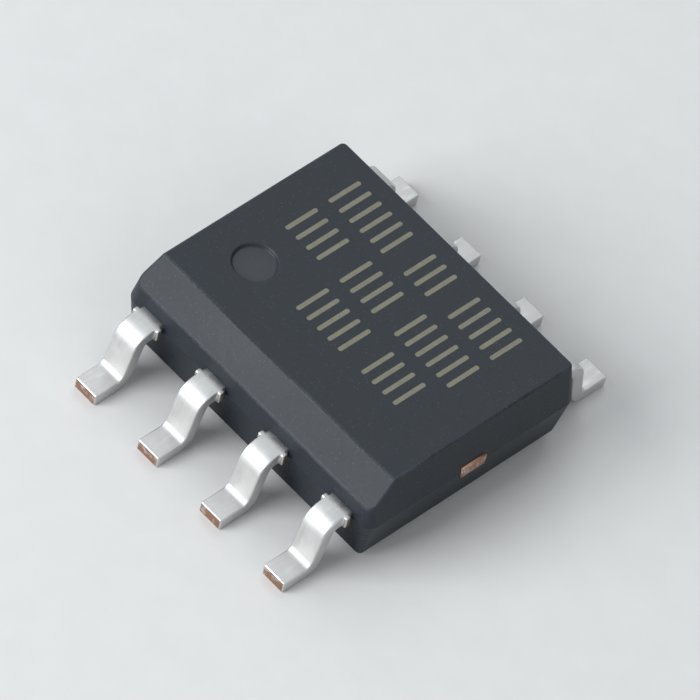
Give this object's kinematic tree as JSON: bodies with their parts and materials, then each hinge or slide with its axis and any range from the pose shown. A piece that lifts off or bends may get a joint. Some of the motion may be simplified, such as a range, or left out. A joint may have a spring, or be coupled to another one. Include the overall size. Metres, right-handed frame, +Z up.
{
  "type": "voltage regulator",
  "caption": "Flat black moulded voltage regulator chip with gull-wing solder leads along both sides, a chamfered edge and a dimple by the first lead, to hold a circuit's supply steady.",
  "frame": {"origin": "on the board plane under the feet, midway between the two rows of leads", "axes": "+X along the rows from pin 1 to pin 4, +Y from the row of pins 1 to 4 to the row of pins 5 to 8, +Z up from the board"},
  "size_m": [0.005, 0.006, 0.0016],
  "materials": {
    "mould_compound": "charcoal epoxy mould compound with the fine grain of an eroded mould",
    "tin_plate": "matte electroplated tin over copper alloy, smoothed at the bends",
    "copper_frame": "bare copper alloy, sheared where the tie bars were cut",
    "silver_epoxy": "silver-filled adhesive, dull",
    "silicon": "passivated silicon, smooth",
    "gold_wire": "drawn gold wire"
  },
  "bodies": {
    "root": {"mould_body": "mould_compound", "lead_1": "tin_plate", "lead_2": "tin_plate", "lead_3": "tin_plate", "lead_4": "tin_plate", "lead_5": "tin_plate", "lead_6": "tin_plate", "lead_7": "tin_plate", "lead_8": "tin_plate", "die_pad": "copper_frame", "die_adhesive": "silver_epoxy", "regulator_die": "silicon", "bond_wire_1a": "gold_wire", "bond_wire_1b": "gold_wire", "bond_wire_2": "gold_wire", "bond_wire_4": "gold_wire", "bond_wire_5": "gold_wire", "bond_wire_8a": "gold_wire", "bond_wire_8b": "gold_wire"}
  },
  "joints": []
}
